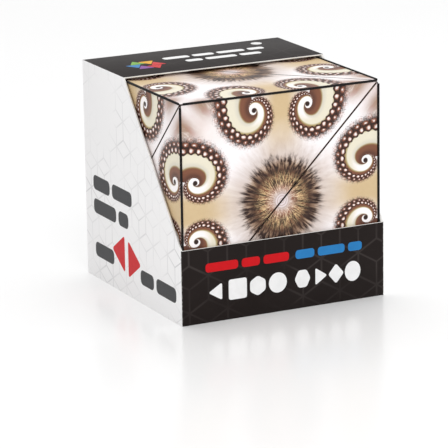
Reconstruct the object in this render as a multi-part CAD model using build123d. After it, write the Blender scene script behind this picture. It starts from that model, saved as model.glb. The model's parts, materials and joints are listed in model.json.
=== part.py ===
# Magnetic puzzle cube in its card display carton.
# The cube is a closed ring of twelve equal tetrahedral modules. Each module is half a cube face and the
# cube's centre. A film wraps each module and joins it to the next one along a cube edge.
# Frame: origin at the middle of the carton's underside, X right, Y back, Z up, millimetres.
import os
from build123d import *

# Driving dimensions, millimetres
cubeEdge = 60.0          # outer edge of the closed cube
seamGap = 0.3            # gap between two neighbouring modules' inner faces
filmThick = 0.2          # printed film round a module
foldRadius = 0.3         # bead of folded film along a cube edge
foldClearance = 0.12     # room round the bead in the next module's film
foldEnd = 1.6            # the bead stops this far short of a cube corner
wall = 1.4               # moulded wall of the tray and the cap
lipDepth = 2.0           # how far the cap's lip reaches into the tray
lipThick = 1.0
lipClearance = 0.1       # between the lip and the tray's walls
magnetRadius = 4.0
magnetThick = 2.0
magnetClearance = 0.05   # radial, between a magnet and its pocket
pocketWall = 1.1         # ring round a magnet
pocketDepth = 2.4
cardThick = 0.45
sideGap = 0.55           # room between the cube and the carton's walls
topGap = 0.75            # room between the cube and the carton's top strip
stripHeight = 21.0       # front strip of the carton
topStripDepth = 27.6     # top strip, from the back wall forwards
liftGap = 0.05           # between the bead under the cube and the base card

# The cube stands on its lower beads, on the carton's base, and the carton is sized round it.
cubeFoot = cardThick + foldRadius + liftGap
cartonSide = cubeEdge + 2 * (sideGap + cardThick)
cartonHeight = cubeFoot + cubeEdge + topGap + cardThick

# The cube's corners are named by three bits: right, back, up.
cubeLow = Vector(-cubeEdge / 2, -cubeEdge / 2, cubeFoot)


def corner(bits):
    return cubeLow + Vector(*bits) * cubeEdge


cubeCentre = corner((0.5, 0.5, 0.5))

# Six corners in a zigzag belt, and the two left over, where six fold lines meet three by three
belt = [(0, 0, 1), (0, 1, 1), (1, 1, 1), (1, 1, 0), (1, 0, 0), (0, 0, 0)]
poles = [(1, 0, 1), (0, 1, 0)]


def poleBeside(bits):
    # the pole that shares a cube edge with this corner
    return min(poles, key=lambda p: sum(abs(a - b) for a, b in zip(p, bits)))


# Each module: right-angled corner, then the far ends of its two short sides.
# Each fold: the cube edge that joins a module to the next one round the ring.
modules = []
folds = []
for i, here in enumerate(belt):
    there = belt[(i + 1) % len(belt)]
    modules += [(here, there, poleBeside(here)), (there, here, poleBeside(there))]
    folds += [(here, there), (there, poleBeside(there))]


def planesOf(module):
    # inward normal and a point for each face: outer, hypotenuse side, and the two short sides
    right, first, second = (corner(b) for b in module)
    tops = [(right, first, second), (first, second, cubeCentre), (right, first, cubeCentre),
            (right, second, cubeCentre)]
    centroid = (right + first + second + cubeCentre) * 0.25
    planes = []
    for a, b, c in tops:
        normal = (b - a).cross(c - a).normalized()
        if normal.dot(centroid - a) < 0:
            normal = normal * -1
        planes.append((normal, a))
    return planes


def meeting(three):
    # the point where three planes meet
    (n1, p1), (n2, p2), (n3, p3) = three
    d1, d2, d3 = n1.dot(p1), n2.dot(p2), n3.dot(p3)
    whole = n1.dot(n2.cross(n3))
    return (n2.cross(n3) * d1 + n3.cross(n1) * d2 + n1.cross(n2) * d3) * (1 / whole)


def wedge(module, outer, hypotenuse, sides):
    # the module's tetrahedron with its faces moved inwards by these amounts
    depths = [outer, hypotenuse, sides, sides]
    planes = [(n, p + n * d) for (n, p), d in zip(planesOf(module), depths)]
    points = [meeting([q for q in planes if q is not left]) for left in planes]
    faces = []
    for k in range(4):
        ring = [p for j, p in enumerate(points) if j != k]
        faces.append(Face(Wire.make_polygon(ring, close=True)))
    return Solid(Shell(faces))


def slab(module, low, high):
    # everything between two depths below the hypotenuse side
    normal, point = planesOf(module)[1]
    sheet = Plane(origin=point + normal * low, z_dir=normal) * Rectangle(4 * cubeEdge, 4 * cubeEdge)
    return extrude(sheet, high - low)


def foldBar(fold, radius, shortening):
    # an eight-sided bar along a cube edge
    a, b = corner(fold[0]), corner(fold[1])
    along = (b - a).normalized()
    section = Plane(origin=a + along * shortening, z_dir=along) * RegularPolygon(radius, 8)
    return extrude(section, (b - a).length - 2 * shortening)


def magnetSeats(module):
    # a plane on each inner face of the moulded shell, at the face's middle, facing into the module
    right, first, second = (corner(b) for b in module)
    middles = [(first + second + cubeCentre) * (1 / 3), (right + first + cubeCentre) * (1 / 3),
               (right + second + cubeCentre) * (1 / 3)]
    depth = seamGap / 2 + filmThick + wall
    return [Plane(origin=m + n * depth, z_dir=n) for m, (n, p) in zip(middles, planesOf(module)[1:])]


def pocket(seat):
    ring = Circle(magnetRadius + magnetClearance + pocketWall) - Circle(magnetRadius + magnetClearance)
    rooted = seat.offset(-wall / 2)
    return extrude(rooted * ring, pocketDepth + wall / 2)


def save(shape, name):
    solids = shape.solids()
    whole = solids[0] if len(solids) == 1 else Compound(children=list(solids))
    whole.label = name
    export_step(whole, f"parts/{name}.step")


def makeModule(index):
    module = modules[index]
    name = f"module_{index + 1:02d}"
    seam = seamGap / 2
    inside = seam + filmThick
    hollow = inside + wall
    body = wedge(module, filmThick, inside, inside)
    film = wedge(module, 0, seam, seam) - body
    film += foldBar(folds[index], foldRadius, foldEnd)
    film -= foldBar(folds[index - 1], foldRadius + foldClearance, foldEnd - 2 * foldClearance)
    save(film, f"{name}_film")

    cavity = wedge(module, filmThick + wall, hollow, hollow)
    lid = slab(module, 0, hollow)
    capPlate = body & lid
    tray = body - cavity - lid
    lipOuter = wedge(module, filmThick + wall + lipClearance, hollow, hollow + lipClearance)
    lipBehind = lipClearance + lipThick
    lipInner = wedge(module, filmThick + wall + lipBehind, hollow, hollow + lipBehind)
    lip = (lipOuter - lipInner) & slab(module, hollow - wall / 2, hollow + lipDepth)
    seats = magnetSeats(module)
    cap = capPlate + lip + pocket(seats[0])
    tray += [pocket(s) & body for s in seats[1:]]
    save(cap, f"{name}_cap")
    save(tray, f"{name}_tray")
    magnets = [extrude(s * Circle(magnetRadius), magnetThick) for s in seats]
    save(Compound(children=magnets), f"{name}_magnets")


def makeCarton():
    side = cartonSide / 2
    inner = side - cardThick
    base = Box(2 * inner, 2 * inner, cardThick, align=(Align.CENTER, Align.CENTER, Align.MIN))
    save(base, "carton_base")
    back = Pos(0, side - cardThick / 2, 0) * Box(2 * inner, cardThick, cartonHeight - cardThick,
                                                 align=(Align.CENTER, Align.CENTER, Align.MIN))
    save(back, "carton_back_wall")
    front = Pos(0, -side + cardThick / 2, 0) * Box(2 * inner, cardThick, stripHeight,
                                                   align=(Align.CENTER, Align.CENTER, Align.MIN))
    save(front, "carton_front_strip")
    topY = side - topStripDepth
    top = Pos(0, (side + topY) / 2, cartonHeight - cardThick) * Box(
        2 * inner, topStripDepth, cardThick, align=(Align.CENTER, Align.CENTER, Align.MIN))
    save(top, "carton_top_strip")
    profile = [(-side, 0), (side, 0), (side, cartonHeight), (topY, cartonHeight), (-side, stripHeight)]
    for name, x in (("carton_left_side", -side), ("carton_right_side", inner)):
        panel = Plane.YZ.offset(x) * make_face(Polyline(*profile, close=True))
        save(extrude(panel, cardThick), name)


os.makedirs("parts", exist_ok=True)
makeCarton()
for index in range(len(modules)):
    makeModule(index)
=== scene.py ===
import json
import math

import bpy
from mathutils import Matrix, Vector


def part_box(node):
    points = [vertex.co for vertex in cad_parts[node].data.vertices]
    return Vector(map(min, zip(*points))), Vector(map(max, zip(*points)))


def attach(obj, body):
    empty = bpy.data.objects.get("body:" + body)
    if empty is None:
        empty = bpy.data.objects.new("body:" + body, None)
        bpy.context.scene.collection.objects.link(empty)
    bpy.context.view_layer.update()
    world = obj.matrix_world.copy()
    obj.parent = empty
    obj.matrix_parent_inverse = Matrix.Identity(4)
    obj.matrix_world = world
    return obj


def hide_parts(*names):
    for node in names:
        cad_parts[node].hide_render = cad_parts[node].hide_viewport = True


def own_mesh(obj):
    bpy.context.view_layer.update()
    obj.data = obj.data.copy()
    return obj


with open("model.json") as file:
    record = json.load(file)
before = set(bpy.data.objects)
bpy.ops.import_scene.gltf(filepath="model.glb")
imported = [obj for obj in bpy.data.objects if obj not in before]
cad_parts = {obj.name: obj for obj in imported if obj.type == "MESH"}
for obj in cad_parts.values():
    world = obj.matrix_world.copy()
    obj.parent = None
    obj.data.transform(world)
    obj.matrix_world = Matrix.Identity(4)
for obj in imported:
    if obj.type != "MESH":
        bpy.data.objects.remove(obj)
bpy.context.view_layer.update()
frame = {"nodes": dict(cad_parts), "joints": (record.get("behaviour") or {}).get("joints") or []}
mm = 0.001
print("frame loaded,", len(frame["nodes"]), "nodes")

# places on the object, all from the frame
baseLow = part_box("carton_base")[0]
frontLow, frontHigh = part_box("carton_front_strip")
topLow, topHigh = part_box("carton_top_strip")
leftLow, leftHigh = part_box("carton_left_side")
filmBoxes = [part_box(f"module_{n:02d}_film") for n in range(1, 13)]
cubeLow = Vector([min(box[0][k] for box in filmBoxes) for k in range(3)])
cubeHigh = Vector([max(box[1][k] for box in filmBoxes) for k in range(3)])
cubeCentre = (cubeLow + cubeHigh) / 2

cube = {
    "edge": 60.0 * mm,
    "lineHalf": 0.3 * mm,      # dark line along each cube edge
    "seamHalf": 0.26 * mm,     # dark line along each open seam
    "printDepth": 0.09 * mm,   # how far below the cube's face the print counts as outer
}
cardLook = {
    "inkProud": 0.03 * mm,
    "keep": 0.02,              # share of its height that the emptied carton keeps, lying flat
    "hexPitch": 11.5 * mm,     # printed cubes on the dark card
    "finePitch": 9.0 * mm,     # printed cubes on the white card
}


# small helpers
def deselectAll():
    for thing in bpy.context.selected_objects:
        thing.select_set(False)


def makeActive(thing):
    deselectAll()
    thing.select_set(True)
    bpy.context.view_layer.objects.active = thing


def applyPlace(thing):
    makeActive(thing)
    bpy.ops.object.transform_apply(location=True, rotation=True, scale=True)


def applyAll(thing):
    makeActive(thing)
    for modifier in list(thing.modifiers):
        bpy.ops.object.modifier_apply(modifier=modifier.name)


def pickFaces(thing, test):
    # selects the faces whose middle passes the test, in edit mode
    bpy.ops.object.mode_set(mode="EDIT")
    bpy.ops.mesh.select_all(action="DESELECT")
    bpy.ops.object.mode_set(mode="OBJECT")
    for face in thing.data.polygons:
        face.select = test(face)
    bpy.ops.object.mode_set(mode="EDIT")


def pickEdges(thing, test):
    bpy.ops.object.mode_set(mode="EDIT")
    bpy.ops.mesh.select_all(action="DESELECT")
    bpy.ops.mesh.select_mode(type="EDGE")
    bpy.ops.object.mode_set(mode="OBJECT")
    points = thing.data.vertices
    for edge in thing.data.edges:
        a, b = (points[k].co for k in edge.vertices)
        edge.select = test(a, b)
    bpy.ops.object.mode_set(mode="EDIT")


def blockBetween(name, low, high):
    deselectAll()
    bpy.ops.mesh.primitive_cube_add(size=1, location=(Vector(low) + Vector(high)) / 2)
    block = bpy.context.object
    block.name = name
    block.dimensions = Vector(high) - Vector(low)
    applyPlace(block)
    return block


def addBevel(thing, width, segments=2):
    bevel = thing.modifiers.new("edges", "BEVEL")
    bevel.width = width
    bevel.segments = segments
    bevel.limit_method = "ANGLE"
    bevel.angle_limit = math.radians(30)
    applyAll(thing)
    bpy.ops.object.shade_smooth_by_angle(angle=math.radians(35))


# node helpers
class Tree:
    # a material's node tree, with its sums written as calls
    def __init__(self, name, roughness=0.5):
        self.material = bpy.data.materials.new(name)
        self.material.use_nodes = True
        self.nodes = self.material.node_tree.nodes
        self.links = self.material.node_tree.links
        self.shader = self.nodes["Principled BSDF"]
        self.shader.inputs["Roughness"].default_value = roughness
        self.place = self.nodes.new("ShaderNodeTexCoord").outputs["Object"]

    def put(self, socket, value):
        if isinstance(value, bpy.types.NodeSocket):
            self.links.new(value, socket)
        else:
            socket.default_value = value

    def calc(self, operation, *values):
        node = self.nodes.new("ShaderNodeMath")
        node.operation = operation
        for socket, value in zip(node.inputs, values):
            self.put(socket, value)
        return node.outputs[0]

    def times(self, first, second):
        return self.calc("MULTIPLY", first, second)

    def plus(self, first, second):
        return self.calc("ADD", first, second)

    def minus(self, first, second):
        return self.calc("SUBTRACT", first, second)

    def over(self, first, second):
        return self.calc("DIVIDE", first, second)

    def larger(self, first, second):
        return self.calc("MAXIMUM", first, second)

    def smaller(self, first, second):
        return self.calc("MINIMUM", first, second)

    def plain(self, value):
        # the value without its sign
        return self.calc("ABSOLUTE", value)

    def vector(self, operation, *values):
        node = self.nodes.new("ShaderNodeVectorMath")
        node.operation = operation
        for socket, value in zip(node.inputs, values):
            self.put(socket, value)
        return node.outputs[0]

    def split(self, vector):
        node = self.nodes.new("ShaderNodeSeparateXYZ")
        self.put(node.inputs[0], vector)
        return node.outputs[0], node.outputs[1], node.outputs[2]

    def join(self, x, y, z=0.0):
        node = self.nodes.new("ShaderNodeCombineXYZ")
        for socket, value in zip(node.inputs, (x, y, z)):
            self.put(socket, value)
        return node.outputs[0]

    def step(self, value, low, high):
        # 0 below low, 1 above high, smooth between
        node = self.nodes.new("ShaderNodeMapRange")
        node.interpolation_type = "SMOOTHSTEP"
        self.put(node.inputs["Value"], value)
        falling = low > high
        node.inputs["From Min"].default_value = high if falling else low
        node.inputs["From Max"].default_value = low if falling else high
        node.inputs["To Min"].default_value = 1.0 if falling else 0.0
        node.inputs["To Max"].default_value = 0.0 if falling else 1.0
        return node.outputs["Result"]

    def mix(self, share, first, second):
        node = self.nodes.new("ShaderNodeMix")
        node.data_type = "RGBA"
        self.put(node.inputs["Factor"], share)
        for socket, value in ((node.inputs[6], first), (node.inputs[7], second)):
            self.put(socket, (*value, 1.0) if isinstance(value, tuple) else value)
        return node.outputs[2]

    def ramp(self, value, stops):
        node = self.nodes.new("ShaderNodeValToRGB")
        self.put(node.inputs[0], value)
        elements = node.color_ramp.elements
        while len(elements) < len(stops):
            elements.new(0.5)
        for element, (at, colour) in zip(elements, stops):
            element.position = at
            element.color = (*colour, 1.0)
        return node.outputs["Color"]

    def noise(self, vector, scale, detail=3.0, roughness=0.55):
        node = self.nodes.new("ShaderNodeTexNoise")
        self.put(node.inputs["Vector"], vector)
        node.inputs["Scale"].default_value = scale
        node.inputs["Detail"].default_value = detail
        node.inputs["Roughness"].default_value = roughness
        return node.outputs["Fac"]

    def bump(self, height, strength, distance):
        node = self.nodes.new("ShaderNodeBump")
        node.inputs["Strength"].default_value = strength
        node.inputs["Distance"].default_value = distance
        self.put(node.inputs["Height"], height)
        self.put(self.shader.inputs["Normal"], node.outputs["Normal"])

    def paint(self, colour):
        self.put(self.shader.inputs["Base Color"], colour)
        return self.material


def rgb(code):
    # a screen colour code as linear light
    values = [int(code[k:k + 2], 16) / 255 for k in (0, 2, 4)]
    return tuple(v / 12.92 if v <= 0.04045 else ((v + 0.055) / 1.055) ** 2.4 for v in values)


# materials
printColours = {
    "white": rgb("fffafb"), "blush": rgb("efe0da"), "beige": rgb("dcc49a"), "sand": rgb("cdb189"),
    "rust": rgb("9f6248"), "haze": rgb("a98a72"), "cream": rgb("ebe4cf"), "olive": rgb("b3a06a"),
    "cocoa": rgb("80513b"), "bark": rgb("2e1a14"), "umber": rgb("5a3b2b"), "gold": rgb("efd09a"),
    "line": rgb("0b0909"), "inside": rgb("3a2a26"), "chestnut": rgb("5f3b2e"), "shell": rgb("dcd6c6"),
    "pearl": rgb("e6dadc"),
}
spiral = {
    "eye": (0.432, 0.135),   # towards the edge, and sideways from its middle, in cube edges
    "armRadius": 0.16,       # from the eye to the middle of the beaded arm, at its outer end
    "shrink": 1.69,          # how far the radius's logarithm falls in one turn
    "armHalf": 0.124,        # half the beaded arm's width, in turns
    "mouth": 0.78,           # where the arm comes in over the cube's edge, in turns
    "pearls": 25,
}
medallion = {"radius": 0.19, "rim": 0.132, "core": 0.05}


def fromPoint(t, point, out, side):
    # distance from a point of the pattern, and the angle round it as a share of a turn
    dOut = t.minus(point[0], out)
    dSide = t.minus(side, point[1])
    radius = t.calc("SQRT", t.plus(t.times(dOut, dOut), t.times(dSide, dSide)))
    return radius, t.over(t.calc("ARCTAN2", dOut, dSide), 2 * math.pi)


def coil(t, out, side):
    # how many turns a point lies outside the beaded arm's middle, and where along the arm it is
    radius, angle = fromPoint(t, spiral["eye"], out, side)
    turned = t.calc("FRACT", t.plus(angle, 1.0))
    full = t.times(turned, 2 * math.pi)
    swell = t.times(t.calc("SINE", t.minus(full, 0.675)), 0.064)
    pinch = t.times(t.calc("COSINE", t.times(full, 2.0)), 0.06)
    uneven = t.plus(t.minus(swell, pinch), 0.1)
    grown = t.calc("LOGARITHM", t.over(radius, spiral["armRadius"]), math.e)
    wound = t.plus(t.over(t.minus(grown, uneven), spiral["shrink"]), turned)
    whole = t.calc("ROUND", wound)
    mouth = t.calc("GREATER_THAN", turned, spiral["mouth"])
    return {"radius": radius, "turned": turned, "wound": wound, "mouth": mouth, "whole": whole,
            "off": t.minus(wound, whole), "arm": t.minus(turned, whole)}


def swirl(t, place):
    # the pale arm, the brown comma and the eye inside the beaded arm
    pc = printColours
    radius, arm = place["radius"], place["arm"]
    outerTurn = t.calc("CEIL", place["wound"])
    inward = t.minus(outerTurn, place["wound"])
    along = t.minus(place["turned"], outerTurn)
    late = t.minus(inward, t.times(t.step(along, 0.12, 0.52), 0.5))
    wedge = t.times(t.step(arm, 0.05, 0.45), t.step(arm, 0.98, 0.6))
    edge = t.minus(inward, t.plus(t.times(wedge, 0.17), 0.1))
    pale = t.mix(t.step(radius, 0.04, 0.085), pc["white"], pc["cream"])
    pale = t.mix(t.step(late, 0.26, 0.42), pale, pc["shell"])
    comma = t.mix(t.step(late, 0.42, 0.54), pc["olive"], pc["cocoa"])
    comma = t.mix(t.step(inward, 0.6, 0.95), comma, pc["chestnut"])
    colour = t.mix(t.step(late, 0.41, 0.49), pale, comma)
    sweep = t.mix(t.step(edge, 0.0, -0.07), pc["olive"], pc["cocoa"])
    colour = t.mix(t.step(edge, 0.045, -0.02), colour, sweep)
    return t.mix(t.step(radius, 0.0135, 0.0095), colour, pc["bark"])


def pearlRow(t, colour, turned, depth, count, rowDepth, size, squash, tones):
    # one row of pearls laid over a colour
    across = t.minus(t.calc("FRACT", t.times(turned, count)), 0.5)
    along = t.over(t.minus(depth, rowDepth), squash)
    reach = t.calc("SQRT", t.plus(t.times(across, across), t.times(along, along)))
    shine = t.plus(t.times(across, -0.35), t.times(along, -0.35))
    pearl = t.ramp(t.plus(t.over(reach, size), shine), tones)
    return t.mix(t.step(reach, size, size * 0.86), colour, pearl)


def beadBand(t, out, side, place):
    # share of the beaded arm, and its colour
    pc = printColours
    arm = place["arm"]
    flat = t.join(out, side)
    loose = t.minus(t.noise(flat, 46.0, 2.0), 0.5)
    turned = t.plus(t.plus(place["turned"], 1.0), t.times(loose, 0.022))
    thinning = t.plus(t.times(t.step(arm, 0.55, 1.0), 0.62), t.times(t.step(arm, 1.0, 1.3), 0.22))
    half = t.times(t.minus(1.0, thinning), spiral["armHalf"])
    slid = t.plus(place["off"], t.times(t.step(arm, 0.6, 1.0), 0.09))
    share = t.plus(t.over(slid, half), t.times(loose, 0.25))
    big = [(0.0, pc["white"]), (0.34, pc["blush"]), (0.54, pc["rust"]), (0.72, pc["bark"]), (1.0, pc["bark"])]
    middle = [(0.0, pc["white"]), (0.16, pc["blush"]), (0.34, pc["rust"]), (0.6, pc["chestnut"]),
              (0.85, pc["bark"])]
    small = [(0.0, pc["blush"]), (0.3, pc["rust"]), (0.75, pc["chestnut"]), (1.0, pc["bark"])]
    colour = t.mix(t.step(t.noise(flat, 300.0, 2.0), 0.45, 0.62), pc["bark"], pc["chestnut"])
    count = spiral["pearls"]
    shifted = t.plus(turned, 0.5 / count)
    colour = pearlRow(t, colour, turned, share, count, 1.02, 0.46, 0.9, small)
    colour = pearlRow(t, colour, shifted, share, count, 0.36, 0.46, 1.0, middle)
    colour = pearlRow(t, colour, turned, share, count, -0.46, 0.5, 1.12, big)
    colour = t.mix(t.step(arm, 0.88, 1.0), colour, pc["bark"])
    ragged = t.times(t.minus(t.noise(flat, 150.0, 4.0), 0.5), 1.5)
    lobes = t.calc("COSINE", t.times(turned, 2 * math.pi * count))
    inner = t.step(t.minus(share, t.times(lobes, 0.14)), -1.02, -0.88)
    outer = t.step(t.plus(share, ragged), 1.5, 0.55)
    fits = t.calc("LESS_THAN", place["whole"], t.plus(place["mouth"], 0.5))
    return t.times(t.times(inner, outer), fits), colour


def ground(t, out, side, place):
    # the soft background between the figures
    pc = printColours
    cloud = t.noise(place, 70.0, 4.0)
    wave = t.times(t.minus(cloud, 0.5), 0.12)
    sideSoft = t.plus(side, wave)
    outSoft = t.plus(out, wave)
    colour = t.mix(t.step(cloud, 0.4, 0.9), pc["white"], pc["blush"])
    nearMiddle = t.times(t.step(sideSoft, 0.15, 0.03), t.step(outSoft, 0.14, 0.4))
    fine = t.noise(place, 900.0, 3.0)
    colour = t.mix(nearMiddle, colour, t.mix(t.times(t.plus(cloud, fine), 0.5), pc["beige"], pc["sand"]))
    cornerAmount = t.step(t.plus(t.plus(out, side), wave), 0.7, 0.9)
    apart = t.minus(out, side)
    swept = t.join(t.times(t.plus(apart, wave), 26.0), t.times(t.plus(out, side), 5.0))
    streak = t.noise(swept, 1.0, 4.0)
    cornerTone = t.mix(t.step(streak, 0.35, 0.62), pc["rust"], pc["haze"])
    cornerTone = t.mix(t.step(streak, 0.55, 0.75), cornerTone, pc["blush"])
    glow = t.plus(t.times(t.step(apart, 0.01, 0.09), 0.7), 0.25)
    colour = t.mix(t.times(cornerAmount, glow), colour, cornerTone)
    return colour


def strandNoise(t, angle, radius, drift, around, along):
    # thin bright threads that run outwards
    loose = t.noise(t.join(t.times(angle, around), t.times(radius, along), drift), 1.0, 1.5, 0.5)
    ridge = t.plain(t.minus(t.times(loose, 2.0), 1.0))
    return t.step(ridge, 0.085, 0.015)


def flower(t, out, side, place):
    # the fuzzy medallion in the middle of each face
    pc = printColours
    radius = t.calc("SQRT", t.plus(t.times(out, out), t.times(side, side)))
    angle = t.calc("ARCTAN2", side, out)
    x, y, z = t.split(place)
    drift = t.times(t.plus(t.plus(x, t.times(y, 1.7)), t.times(z, 2.3)), 190.0)
    hair = t.noise(t.join(t.times(angle, 15.0), t.times(radius, 8.0), drift), 1.0, 4.0, 0.6)
    edge = t.plus(radius, t.times(t.minus(hair, 0.5), 0.11))
    body = t.ramp(t.over(radius, medallion["radius"]),
                  [(0.0, pc["blush"]), (0.2, pc["haze"]), (0.3, pc["rust"]), (0.55, pc["cocoa"]),
                   (0.75, pc["umber"]), (1.0, pc["haze"])])
    dark = t.step(hair, 0.58, 0.42)
    body = t.mix(t.times(dark, t.step(radius, 0.03, 0.1)), body, pc["bark"])
    bent = t.plus(angle, t.times(radius, 3.0))
    threads = t.larger(strandNoise(t, bent, radius, drift, 15.0, 16.0),
                       strandNoise(t, angle, radius, t.plus(drift, 40.0), 19.0, 22.0))
    knots = t.times(strandNoise(t, bent, radius, t.plus(drift, 80.0), 10.0, 70.0), 0.7)
    lit = t.times(t.larger(threads, knots), t.step(radius, 0.02, 0.05))
    lit = t.times(lit, t.step(edge, medallion["rim"] + 0.02, medallion["rim"] - 0.04))
    warm = t.mix(t.step(radius, 0.03, 0.1), pc["blush"], pc["gold"])
    gaps = t.times(t.step(hair, 0.53, 0.4), t.step(radius, 0.04, 0.075))
    body = t.mix(t.times(lit, t.minus(1.0, t.times(gaps, 0.85))), body, warm)
    wisps = t.times(t.step(hair, 0.56, 0.7), t.step(radius, medallion["rim"] - 0.02, medallion["radius"]))
    body = t.mix(t.times(wisps, 0.6), body, pc["sand"])
    rings = t.calc("SINE", t.plus(t.times(radius, 520.0), t.times(hair, 5.0)))
    centre = t.mix(t.times(t.step(rings, 0.1, 0.9), 0.55), pc["pearl"], pc["haze"])
    body = t.mix(t.step(radius, medallion["core"], 0.022), body, centre)
    share = t.step(edge, medallion["radius"] + 0.034, medallion["radius"] - 0.018)
    halo = t.times(t.step(edge, medallion["radius"] + 0.15, medallion["radius"] - 0.03), 0.62)
    return share, body, halo


def insidePrint(t, largest, out, side, mottle):
    # dark ground, gold contour lines, and rings round each magnet's place
    pc = printColours
    tone = t.mix(t.step(mottle, 0.35, 0.65), pc["inside"], pc["cocoa"])
    swept = t.noise(t.join(t.times(largest, 5.0), t.times(out, 5.0), t.times(side, 5.0)),
                    1.0, 4.0, 0.5)
    contour = t.plain(t.minus(t.calc("FRACT", t.times(swept, 9.0)), 0.5))
    tone = t.mix(t.times(t.step(contour, 0.1, 0.03), 0.55), tone, pc["gold"])
    reaches = []
    for spot in ((1 / 3, 1 / 3, 0.0), (1 / 3, 0.0, 0.0)):
        parts = [t.minus(value, at) for value, at in zip((largest, out, side), spot)]
        squares = [t.times(part, part) for part in parts]
        reaches.append(t.calc("SQRT", t.plus(t.plus(squares[0], squares[1]), squares[2])))
    reach = t.smaller(reaches[0], reaches[1])
    ripples = t.calc("SINE", t.times(t.plus(reach, t.times(mottle, 0.03)), 420.0))
    glint = t.mix(t.step(reach, 0.03, 0.1), pc["cream"], pc["gold"])
    ringTone = t.mix(t.step(ripples, -0.2, 0.7), pc["bark"], glint)
    tone = t.mix(t.step(reach, 0.125, 0.115), tone, ringTone)
    return t.mix(t.step(reach, 0.03, 0.02), tone, pc["rust"])


def printedFilm():
    t = Tree("printed film", 0.4)
    t.shader.inputs["Specular IOR Level"].default_value = 0.3
    pc = printColours
    place = t.vector("SCALE", t.vector("SUBTRACT", t.place, tuple(cubeCentre)))
    place.node.inputs["Scale"].default_value = 1 / cube["edge"]
    x, y, z = t.split(place)
    a, b, c = (t.plain(v) for v in (x, y, z))
    largest = t.larger(t.larger(a, b), c)
    side = t.smaller(t.smaller(a, b), c)
    total = t.plus(t.plus(a, b), c)
    out = t.minus(t.minus(total, largest), side)
    colour = ground(t, out, side, t.place)
    flowerShare, flowerTone, halo = flower(t, out, side, t.place)
    colour = t.mix(halo, colour, pc["haze"])
    colour = t.mix(flowerShare, colour, flowerTone)
    spiralPlace = coil(t, out, side)
    bandShare, bandTone = beadBand(t, out, side, spiralPlace)
    within = t.calc("LESS_THAN", spiralPlace["wound"], spiralPlace["mouth"])
    colour = t.mix(within, colour, swirl(t, spiralPlace))
    colour = t.mix(bandShare, colour, bandTone)
    # dark lines: along the cube's edges, and along the open seams
    lineStart = 0.5 - cube["lineHalf"] / cube["edge"]
    edgeLine = t.step(out, lineStart - 0.001, lineStart + 0.001)
    turned = t.times(y, -1.0)
    gaps = [t.plain(t.minus(p, q)) for p, q in ((x, turned), (turned, z), (z, x))]
    nearest = t.smaller(t.smaller(gaps[0], gaps[1]), gaps[2])
    seamReach = cube["seamHalf"] * math.sqrt(2) / cube["edge"]
    seamLine = t.step(nearest, seamReach + 0.001, seamReach - 0.001)
    colour = t.mix(t.larger(edgeLine, seamLine), colour, pc["line"])
    # the inner faces carry a plain dark print
    grain = t.noise(t.place, 900.0, 3.0)
    mottle = t.noise(t.place, 120.0, 4.0)
    insideTone = insidePrint(t, largest, out, side, mottle)
    printStart = 0.5 - cube["printDepth"] / cube["edge"]
    outer = t.step(largest, printStart - 0.0002, printStart)
    colour = t.mix(outer, insideTone, colour)
    t.put(t.shader.inputs["Roughness"], t.plus(t.times(grain, 0.16), 0.34))
    t.bump(grain, 0.12, 0.00003)
    return t.paint(colour)


def cardPrint(name, base, line, across, up, lineShare, roughness, pitch):
    # card printed with a faint pattern of cubes, drawn as hexagons with three spokes
    t = Tree(name, roughness)
    t.shader.inputs["Specular IOR Level"].default_value = 0.12
    parts = t.split(t.place)
    s = t.over(parts[across], pitch)
    v = t.over(parts[up], pitch)
    tall = math.sqrt(3)
    cells = []
    for shift in (0.0, 0.5):
        cs = t.minus(t.calc("FRACT", t.plus(s, shift + 20)), 0.5)
        raised = t.calc("FRACT", t.plus(t.over(v, tall), shift + 20))
        cv = t.times(t.minus(raised, 0.5), tall)
        cells.append((cs, cv, t.plus(t.times(cs, cs), t.times(cv, cv))))
    second = t.calc("LESS_THAN", cells[1][2], cells[0][2])
    first = t.minus(1.0, second)
    gs, gv = (t.plus(t.times(cells[1][k], second), t.times(cells[0][k], first))
              for k in (0, 1))
    absS = t.plain(gs)
    slope = t.plus(t.times(absS, 0.5), t.times(t.plain(gv), tall / 2))
    hexEdge = t.step(t.larger(absS, slope), 0.465, 0.485)
    upright = t.times(t.step(absS, 0.03, 0.012), t.calc("LESS_THAN", gv, 0.0))
    leaning = t.plain(t.minus(gv, t.times(absS, 1 / tall)))
    spokes = t.larger(upright, t.step(leaning, 0.035, 0.014))
    fade = t.step(t.noise(t.place, 45.0, 2.0), 0.35, 0.7)
    lines = t.times(t.larger(hexEdge, spokes), t.times(fade, lineShare))
    fibre = t.noise(t.place, 2600.0, 3.0)
    paper = t.mix(t.times(t.noise(t.place, 60.0, 3.0), 0.06), base, line)
    colour = t.mix(lines, paper, line)
    # worn a little where the card is creased
    board = t.mix(t.noise(t.place, 700.0, 4.0), rgb("dedcd8"), rgb("f0eeea"))
    rim = t.step(t.plain(parts[across]), -leftLow[0] - 0.32 * mm, -leftLow[0] - 0.04 * mm)
    rub = t.step(t.noise(t.place, 1300.0, 4.0), 0.42, 0.66)
    colour = t.mix(t.times(t.times(rim, rub), 0.4), colour, board)
    t.bump(fibre, 0.1, 0.00003)
    t.put(t.shader.inputs["Roughness"], t.plus(t.times(fibre, 0.14), roughness - 0.07))
    return t.paint(colour)


def boardMaterial():
    # the card's unprinted side
    t = Tree("plain board", 0.7)
    t.shader.inputs["Specular IOR Level"].default_value = 0.1
    fibre = t.noise(t.place, 2600.0, 3.0)
    fleck = t.step(t.noise(t.place, 700.0, 4.0), 0.3, 0.7)
    t.bump(fibre, 0.2, 0.00004)
    t.put(t.shader.inputs["Roughness"], t.plus(t.times(fibre, 0.2), 0.6))
    return t.paint(t.mix(fleck, rgb("e0deda"), rgb("efedea")))


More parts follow.
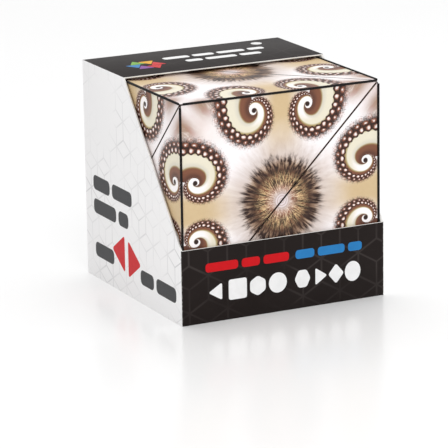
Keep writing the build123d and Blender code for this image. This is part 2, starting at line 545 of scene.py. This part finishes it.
def inkMaterial(name, colour, roughness=0.4):
    t = Tree(name, roughness)
    t.shader.inputs["Specular IOR Level"].default_value = 0.15
    speck = t.noise(t.place, 1800.0, 2.0)
    t.bump(speck, 0.06, 0.00002)
    darker = tuple(v * 0.82 for v in colour)
    t.put(t.shader.inputs["Roughness"], t.plus(t.times(speck, 0.12), roughness - 0.06))
    return t.paint(t.mix(t.noise(t.place, 400.0, 2.0), colour, darker))


def mouldedMaterial():
    t = Tree("moulded shell", 0.48)
    grain = t.noise(t.place, 3200.0, 2.0)
    t.bump(grain, 0.2, 0.00003)
    return t.paint(t.mix(t.noise(t.place, 250.0, 3.0), rgb("1c1b1d"), rgb("29282a")))


def nickelMaterial():
    t = Tree("nickel plate", 0.2)
    t.shader.inputs["Metallic"].default_value = 1.0
    scuff = t.noise(t.place, 1500.0, 4.0)
    t.put(t.shader.inputs["Roughness"], t.plus(t.times(scuff, 0.25), 0.1))
    return t.paint(t.mix(scuff, rgb("b9b7b2"), rgb("d9d7d2")))


def weltMaterial():
    t = Tree("fold welt", 0.5)
    t.shader.inputs["Specular IOR Level"].default_value = 0.15
    fine = t.noise(t.place, 2400.0, 2.0)
    t.bump(fine, 0.15, 0.00002)
    return t.paint(t.mix(fine, rgb("0d0b0b"), rgb("1a1615")))


hexPitch, finePitch = cardLook["hexPitch"], cardLook["finePitch"]
dark, darkLine = rgb("18100e"), rgb("6a6260")
white, whiteLine = rgb("f4f3f3"), rgb("c9c8c9")
materials = {
    "film": printedFilm(),
    "front": cardPrint("dark card front", dark, darkLine, 0, 2, 0.17, 0.5, hexPitch),
    "top": cardPrint("dark card top", dark, darkLine, 0, 1, 0.13, 0.5, hexPitch),
    "side": cardPrint("white card side", white, whiteLine, 1, 2, 0.75, 0.5, finePitch),
    "back": cardPrint("white card back", white, whiteLine, 0, 2, 0.75, 0.5, finePitch),
    "base": cardPrint("white card base", rgb("e6e5e4"), rgb("c3c2c3"), 0, 1, 0.4, 0.5, finePitch),
    "board": boardMaterial(),
    "shell": mouldedMaterial(),
    "nickel": nickelMaterial(),
    "welt": weltMaterial(),
    "white": inkMaterial("white ink", rgb("f8f8f8")),
    "red": inkMaterial("red ink", rgb("d3101a")),
    "blue": inkMaterial("blue ink", rgb("2a7fc0")),
    "grey": inkMaterial("grey ink", rgb("3c3c3e")),
    "green": inkMaterial("green ink", rgb("7cb342")),
    "yellow": inkMaterial("yellow ink", rgb("f2b21b")),
    "violet": inkMaterial("violet ink", rgb("8c4a9e")),
}
print("materials made")


def setMaterial(thing, key):
    thing.data.materials.clear()
    thing.data.materials.append(materials[key])


for nodeName, node in frame["nodes"].items():
    for ending, key in (("film", "film"), ("tray", "shell"), ("cap", "shell"), ("magnets", "nickel")):
        if nodeName.endswith(ending):
            setMaterial(node, key)
print("carried-over nodes painted")


# carton
carton = {"creaseRadius": 0.28 * mm, "creaseSteps": 3, "card": frontHigh[1] - frontLow[1]}
cardSides = (("front", Vector((0, -1, 0))), ("back", Vector((0, 1, 0))), ("side", Vector((-1, 0, 0))),
             ("side", Vector((1, 0, 0))), ("top", Vector((0, 0, 1))), ("base", Vector((0, 0, -1))))


def makeCarton():
    # one folded blank: a box, cut off along the window's slope, given the card's thickness and soft creases
    low = Vector((leftLow[0], leftLow[1], baseLow[2]))
    high = Vector((-leftLow[0], leftHigh[1], topHigh[2]))
    blank = blockBetween("cartonBlank", low, high)
    foot = Vector((0, frontLow[1], frontHigh[2]))
    slope = Vector((0, topLow[1], topHigh[2])) - foot
    away = Vector((0, -slope.z, slope.y)).normalized()
    makeActive(blank)
    bpy.ops.object.mode_set(mode="EDIT")
    bpy.ops.mesh.select_all(action="SELECT")
    bpy.ops.mesh.bisect(plane_co=foot, plane_no=away, clear_outer=True)
    bpy.ops.object.mode_set(mode="OBJECT")
    keys = []
    for key, outward in cardSides:
        if key not in keys:
            keys.append(key)
            blank.data.materials.append(materials[key])
        for face in blank.data.polygons:
            if face.normal.dot(outward) > 0.9:
                face.material_index = keys.index(key)
    wall = blank.modifiers.new("card", "SOLIDIFY")
    wall.thickness = carton["card"]
    wall.offset = -1
    wall.use_even_offset = True
    wall.material_offset = len(keys)       # the inner side and the cut edges are plain board
    wall.material_offset_rim = len(keys)
    for key in keys:
        blank.data.materials.append(materials["board"])
    applyAll(blank)
    addBevel(blank, carton["creaseRadius"] / 2, carton["creaseSteps"])
    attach(blank, "carton")
    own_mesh(blank)
    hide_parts("carton_base", "carton_back_wall", "carton_left_side", "carton_right_side",
                "carton_front_strip", "carton_top_strip")


makeCarton()
print("carton made")


# printed marks on the card
# each face of the card gives the corner it starts from, a way across, a way up and a way out
faces = {
    "front": ((leftLow[0], frontLow[1], 0), (1, 0, 0), (0, 0, 1), (0, -1, 0)),
    "left": ((leftLow[0], leftHigh[1], 0), (0, -1, 0), (0, 0, 1), (-1, 0, 0)),
    "top": ((leftLow[0], topLow[1], topHigh[2]), (1, 0, 0), (0, 1, 0), (0, 0, 1)),
}
marks = {
    # name, face, start across, middle up, height, widths, gap and ink, all in mm
    "bars": (
        ("frontRed", "front", 7.2, 15.3, 2.5, (9.8, 5.5, 7.8), 1.1, "red"),
        ("frontBlue", "front", 34.5, 15.3, 2.5, (5.8, 8.3, 4.3), 1.1, "blue"),
        ("leftLineA", "left", 5.5, 28.0, 4.2, (11.0, 13.0), 1.6, "grey"),
        ("leftLineB", "left", 5.5, 21.2, 4.2, (15.0, 6.5), 1.6, "grey"),
        ("leftLineC", "left", 6.0, 8.6, 4.2, (12.5,), 1.6, "grey"),
        ("leftLineD", "left", 36.0, 7.6, 4.2, (8.5, 12.5), 1.6, "grey"),
        ("topLineA", "top", 20.0, 16.8, 2.6, (8.0, 6.5, 8.5, 5.0), 1.2, "white"),
        ("topLineB", "top", 24.5, 11.2, 2.6, (5.0, 9.5, 6.5), 1.2, "white"),
    ),
    # start across, pitch, width, and each shape's sides and turn
    "shapes": (
        (10.7, 6.1, 5.5, ((3, 90), (4, 0), (6, 0), (24, 0))),
        (36.6, 5.2, 4.9, ((6, 30), (3, -90), (4, 45), (24, 0))),
    ),
    "shapeUp": 8.3,
    "shapeTall": 5.7,
    # name, face, across, up, width, height, ink, sides and turn
    "figures": (
        ("leftFigureA", "left", 23.0, 11.4, 11.0, 12.5, "red", 3, 90),
        ("leftFigureB", "left", 30.8, 10.6, 11.0, 12.5, "red", 3, -90),
        ("topRing", "top", 52.5, 22.8, 3.2, 3.2, "white", 24, 0),
    ),
    "petalMiddle": (12.5, 12.0),
    "petalReach": 3.4,
    "petalSize": 5.4,
    "petalInks": ("red", "yellow", "green", "blue", "violet", "red"),
}


def printMark(name, face, across, up, wide, tall, key, sides=4, corner=0.3, turn=0.0):
    # one flat inked shape: a rounded bar, or a regular shape with that many sides
    start, right, upward, outward = (Vector(part) for part in faces[face])
    first = math.radians(turn) + (math.pi / 4 if sides == 4 else 0.0)
    grow = math.sqrt(2) if sides == 4 and turn == 0 else 1.0
    proud = cardLook["inkProud"]
    deselectAll()
    bpy.ops.mesh.primitive_cylinder_add(vertices=sides, radius=0.5, depth=1, end_fill_type="NGON",
                                        rotation=(0, 0, first))
    mark = bpy.context.object
    mark.name = name
    applyPlace(mark)
    mark.scale = (wide * mm * grow, tall * mm * grow, proud)
    mark.rotation_euler = Matrix((right, upward, outward)).transposed().to_euler()
    mark.location = start + right * across * mm + upward * up * mm + outward * proud / 2
    applyPlace(mark)
    if sides < 12:
        pickEdges(mark, lambda a, b: abs((a - b).normalized().dot(outward)) > 0.9)
        bpy.ops.mesh.bevel(offset=corner * min(wide, tall) * mm, segments=4)
        bpy.ops.object.mode_set(mode="OBJECT")
    setMaterial(mark, key)
    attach(mark, "carton")
    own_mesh(mark)


def makeMarks():
    for prefix, face, across, up, tall, widths, gap, key in marks["bars"]:
        for number, wide in enumerate(widths, 1):
            printMark(f"{prefix}{number}", face, across + wide / 2, up, wide, tall, key, corner=0.35)
            across += wide + gap
    count = 0
    for start, pitch, wide, shapes in marks["shapes"]:
        for place, (sides, turn) in enumerate(shapes):
            count += 1
            printMark(f"frontShape{count}", "front", start + pitch * place, marks["shapeUp"], wide,
                      marks["shapeTall"], "white", sides=sides, turn=turn, corner=0.12)
    for name, face, across, up, wide, tall, key, sides, turn in marks["figures"]:
        printMark(name, face, across, up, wide, tall, key, sides=sides, turn=turn, corner=0.1)
    # a ring of coloured triangles on the top strip
    across, up = marks["petalMiddle"]
    reach, size = marks["petalReach"], marks["petalSize"]
    for number, key in enumerate(marks["petalInks"]):
        spin = math.radians(60 * number)
        x, y = across + reach * math.cos(spin), up + reach * math.sin(spin)
        printMark(f"topPetal{number + 1}", "top", x, y, size, size, key, sides=3, turn=60 * number,
                  corner=0.08)


makeMarks()
print("printed marks made")


# welts on the folds
welt = {"radius": 0.33 * mm, "endGap": 0.9 * mm, "sides": 16}


def makeWelt(number, start, end, body):
    # a round bead of folded film with domed ends
    along = end - start
    length = along.length - 2 * welt["endGap"]
    deselectAll()
    bpy.ops.mesh.primitive_cylinder_add(vertices=welt["sides"], radius=welt["radius"], depth=length)
    bead = bpy.context.object
    bead.name = f"foldWelt_{number:02d}"
    makeActive(bead)
    pickFaces(bead, lambda face: abs(face.normal.z) > 0.9)
    bpy.ops.mesh.inset(thickness=welt["radius"] * 0.35)
    bpy.ops.mesh.select_all(action="DESELECT")
    bpy.ops.object.mode_set(mode="OBJECT")
    bead.location = (start + end) / 2
    bead.rotation_euler = along.to_track_quat("Z", "Y").to_euler()
    applyPlace(bead)
    addBevel(bead, welt["radius"] * 0.3)
    setMaterial(bead, "welt")
    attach(bead, body)


def makeWelts():
    for joint in frame["joints"]:
        if joint["type"] != "hinge":
            continue
        start = Vector(joint["pos_m"])
        axis = Vector(joint["axis"])
        along = axis if (start - cubeCentre).dot(axis) < 0 else -axis
        number = int(joint["name"].split("_")[1])
        makeWelt(number, start, start + along * cube["edge"], f"module_{number:02d}")


makeWelts()
print("welts made")


# stage, light and camera
stage = {"floorSize": 6, "floorShine": 0.35, "sky": 0.86}
# where each light is, its size in metres and its power in watts
lights = {
    "keyLight": ((-0.2, -0.8, 0.7), 0.6, 2.6),
    "fillLight": ((0.8, -0.3, 0.4), 0.7, 0.8),
    "topLight": ((0.1, 0.3, 0.9), 0.7, 1.6),
}


def makeStage():
    deselectAll()
    bpy.ops.mesh.primitive_plane_add(size=stage["floorSize"])
    floor = bpy.context.object
    floor.name = "floor"
    t = Tree("pale floor", 0.22)
    t.shader.inputs["Specular IOR Level"].default_value = stage["floorShine"]
    floor.data.materials.append(t.paint(t.mix(t.noise(t.place, 3.0, 2.0), rgb("fbfbfb"), rgb("f4f4f4"))))
    world = bpy.data.worlds.new("studio")
    world.use_nodes = True
    sky = world.node_tree.nodes["Background"]
    sky.inputs["Color"].default_value = (1, 1, 1, 1)
    sky.inputs["Strength"].default_value = stage["sky"]
    bpy.context.scene.world = world
    bpy.context.scene.view_settings.view_transform = "Standard"


def makeLight(name, place, size, power):
    bpy.ops.object.light_add(type="AREA", location=place)
    lamp = bpy.context.object
    lamp.name = name
    lamp.data.size = size
    lamp.data.energy = power
    aim = Vector(place) - cubeCentre
    lamp.rotation_euler = aim.to_track_quat("Z", "Y").to_euler()


view = {
    "place": Vector((-361.7, -725.4, 234.2)) * mm,
    "azimuth": 26.33,
    "elevation": 14.98,
    "roll": -0.9,
    "sensor": 36,
    "lens": 240.485,
}


def makeCamera():
    bpy.ops.object.camera_add(location=view["place"])
    camera = bpy.context.object
    azimuth, elevation = math.radians(view["azimuth"]), math.radians(view["elevation"])
    ahead = Vector((math.sin(azimuth) * math.cos(elevation), math.cos(azimuth) * math.cos(elevation),
                    -math.sin(elevation)))
    turn = ahead.to_track_quat("-Z", "Y").to_matrix() @ Matrix.Rotation(math.radians(view["roll"]), 3, "Z")
    camera.rotation_euler = turn.to_euler()
    camera.data.sensor_width = view["sensor"]
    camera.data.lens = view["lens"]
    camera.data.clip_start = 0.01
    camera.data.clip_end = 50
    bpy.context.scene.camera = camera


makeStage()
for lightName, values in lights.items():
    makeLight(lightName, *values)
makeCamera()
print("stage, light and camera made")
